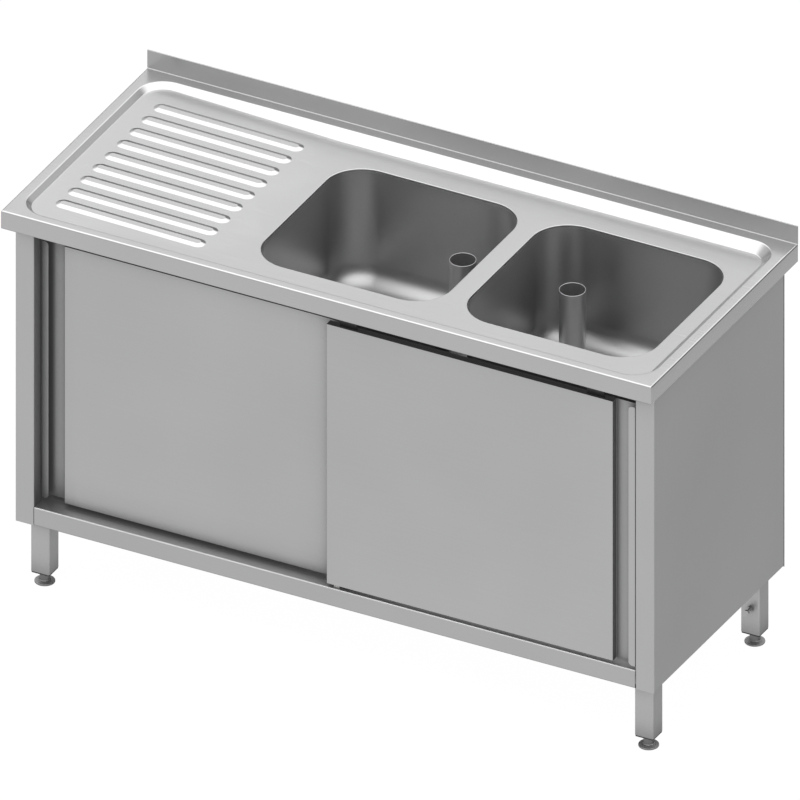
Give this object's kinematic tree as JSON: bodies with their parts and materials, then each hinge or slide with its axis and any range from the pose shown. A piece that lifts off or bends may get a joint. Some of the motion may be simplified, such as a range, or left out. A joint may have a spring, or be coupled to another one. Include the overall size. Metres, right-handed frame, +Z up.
{
  "type": "commercial sink cabinet",
  "caption": "Stainless steel sink cabinet with a beaded drainer beside its bowls, standpipes, sliding doors, a rear upstand and adjustable feet.",
  "frame": {"origin": "centre of the footprint on the floor", "axes": "+X to the right along the worktop as seen from the front, +Y to the back where the upstand is, +Z up"},
  "size_m": [1.4, 0.6, 0.894],
  "materials": {
    "brushed_panel": "fine brushed stainless sheet, clean",
    "bowl_steel": "deep-drawn stainless steel with a satin polish",
    "hardware_steel": "plain stainless steel",
    "zinc_steel": "zinc-plated steel plate",
    "foot_steel": "turned stainless steel",
    "white_nylon": "natural nylon",
    "black_plastic": "black moulded plastic",
    "rubber_seal": "black rubber",
    "board": "plain pressed board"
  },
  "bodies": {
    "cabinet": {"worktop": "brushed_panel", "drainer_underlay": "board", "bowl_left": "bowl_steel", "bowl_right": "bowl_steel", "drain_body_left": "hardware_steel", "drain_body_right": "hardware_steel", "drain_gaskets": "rubber_seal", "drain_nuts": "hardware_steel", "side_panel_left": "brushed_panel", "side_panel_right": "brushed_panel", "back_panel": "brushed_panel", "bottom_shelf": "brushed_panel", "shelf_stiffener": "hardware_steel", "front_top_rail": "hardware_steel", "rear_top_rail": "hardware_steel", "worktop_studs": "hardware_steel", "worktop_nuts": "hardware_steel", "door_track": "hardware_steel", "track_stops": "rubber_seal", "track_screws": "hardware_steel", "door_guide": "white_nylon", "leg_front_left": "brushed_panel", "leg_front_right": "brushed_panel", "leg_rear_left": "brushed_panel", "leg_rear_right": "brushed_panel", "leg_bolts": "hardware_steel", "leg_nuts": "hardware_steel", "insert_front_left": "black_plastic", "insert_front_right": "black_plastic", "insert_rear_left": "black_plastic", "insert_rear_right": "black_plastic", "earth_bolt": "hardware_steel", "earth_nut": "hardware_steel"},
    "outer_door": {"outer_door_skin": "brushed_panel", "outer_door_liner": "hardware_steel", "outer_door_core": "board", "outer_door_hangers": "zinc_steel", "outer_door_axles": "hardware_steel", "outer_door_screws": "hardware_steel"},
    "inner_door": {"inner_door_skin": "brushed_panel", "inner_door_liner": "hardware_steel", "inner_door_core": "board", "inner_door_hangers": "zinc_steel", "inner_door_axles": "hardware_steel", "inner_door_screws": "hardware_steel"},
    "outer_roller_a": {"outer_roller_a": "white_nylon"},
    "outer_roller_b": {"outer_roller_b": "white_nylon"},
    "inner_roller_a": {"inner_roller_a": "white_nylon"},
    "inner_roller_b": {"inner_roller_b": "white_nylon"},
    "standpipe_left": {"standpipe_left": "bowl_steel", "pipe_seal_left": "rubber_seal"},
    "standpipe_right": {"standpipe_right": "bowl_steel", "pipe_seal_right": "rubber_seal"},
    "foot_front_left": {"foot_front_left": "foot_steel"},
    "foot_front_right": {"foot_front_right": "foot_steel"},
    "foot_rear_left": {"foot_rear_left": "foot_steel"},
    "foot_rear_right": {"foot_rear_right": "foot_steel"}
  },
  "joints": [
    {"name": "outer_door_slide", "type": "slide", "parent": "cabinet", "child": "outer_door", "axis": [-1, 0, 0], "range_m": [0, 0.57]},
    {"name": "inner_door_slide", "type": "slide", "parent": "cabinet", "child": "inner_door", "axis": [1, 0, 0], "range_m": [0, 0.57]},
    {"name": "outer_roller_a_spin", "type": "hinge", "parent": "outer_door", "child": "outer_roller_a", "pos_m": [0.023, -0.251, 0.8038], "axis": [0, 1, 0], "continuous": true},
    {"name": "outer_roller_b_spin", "type": "hinge", "parent": "outer_door", "child": "outer_roller_b", "pos_m": [0.5553, -0.251, 0.8038], "axis": [0, 1, 0], "continuous": true},
    {"name": "inner_roller_a_spin", "type": "hinge", "parent": "inner_door", "child": "inner_roller_a", "pos_m": [-0.023, -0.225, 0.8038], "axis": [0, 1, 0], "continuous": true},
    {"name": "inner_roller_b_spin", "type": "hinge", "parent": "inner_door", "child": "inner_roller_b", "pos_m": [-0.5553, -0.225, 0.8038], "axis": [0, 1, 0], "continuous": true},
    {"name": "standpipe_left_lift", "type": "slide", "parent": "cabinet", "child": "standpipe_left", "axis": [0, 0, 1], "range_m": [0, 0.2]},
    {"name": "standpipe_right_lift", "type": "slide", "parent": "cabinet", "child": "standpipe_right", "axis": [0, 0, 1], "range_m": [0, 0.2]},
    {"name": "foot_front_left_screw", "type": "slide", "parent": "cabinet", "child": "foot_front_left", "axis": [0, 0, -1], "range_m": [-0.002, 0.028]},
    {"name": "foot_front_right_screw", "type": "slide", "parent": "cabinet", "child": "foot_front_right", "axis": [0, 0, -1], "range_m": [-0.002, 0.028]},
    {"name": "foot_rear_left_screw", "type": "slide", "parent": "cabinet", "child": "foot_rear_left", "axis": [0, 0, -1], "range_m": [-0.002, 0.028]},
    {"name": "foot_rear_right_screw", "type": "slide", "parent": "cabinet", "child": "foot_rear_right", "axis": [0, 0, -1], "range_m": [-0.002, 0.028]}
  ],
  "couplings": [
    {"joint": "outer_roller_a_spin", "follows": "outer_door_slide", "rad_per_m": -100},
    {"joint": "outer_roller_b_spin", "follows": "outer_door_slide", "rad_per_m": -100},
    {"joint": "inner_roller_a_spin", "follows": "inner_door_slide", "rad_per_m": 100},
    {"joint": "inner_roller_b_spin", "follows": "inner_door_slide", "rad_per_m": 100}
  ]
}
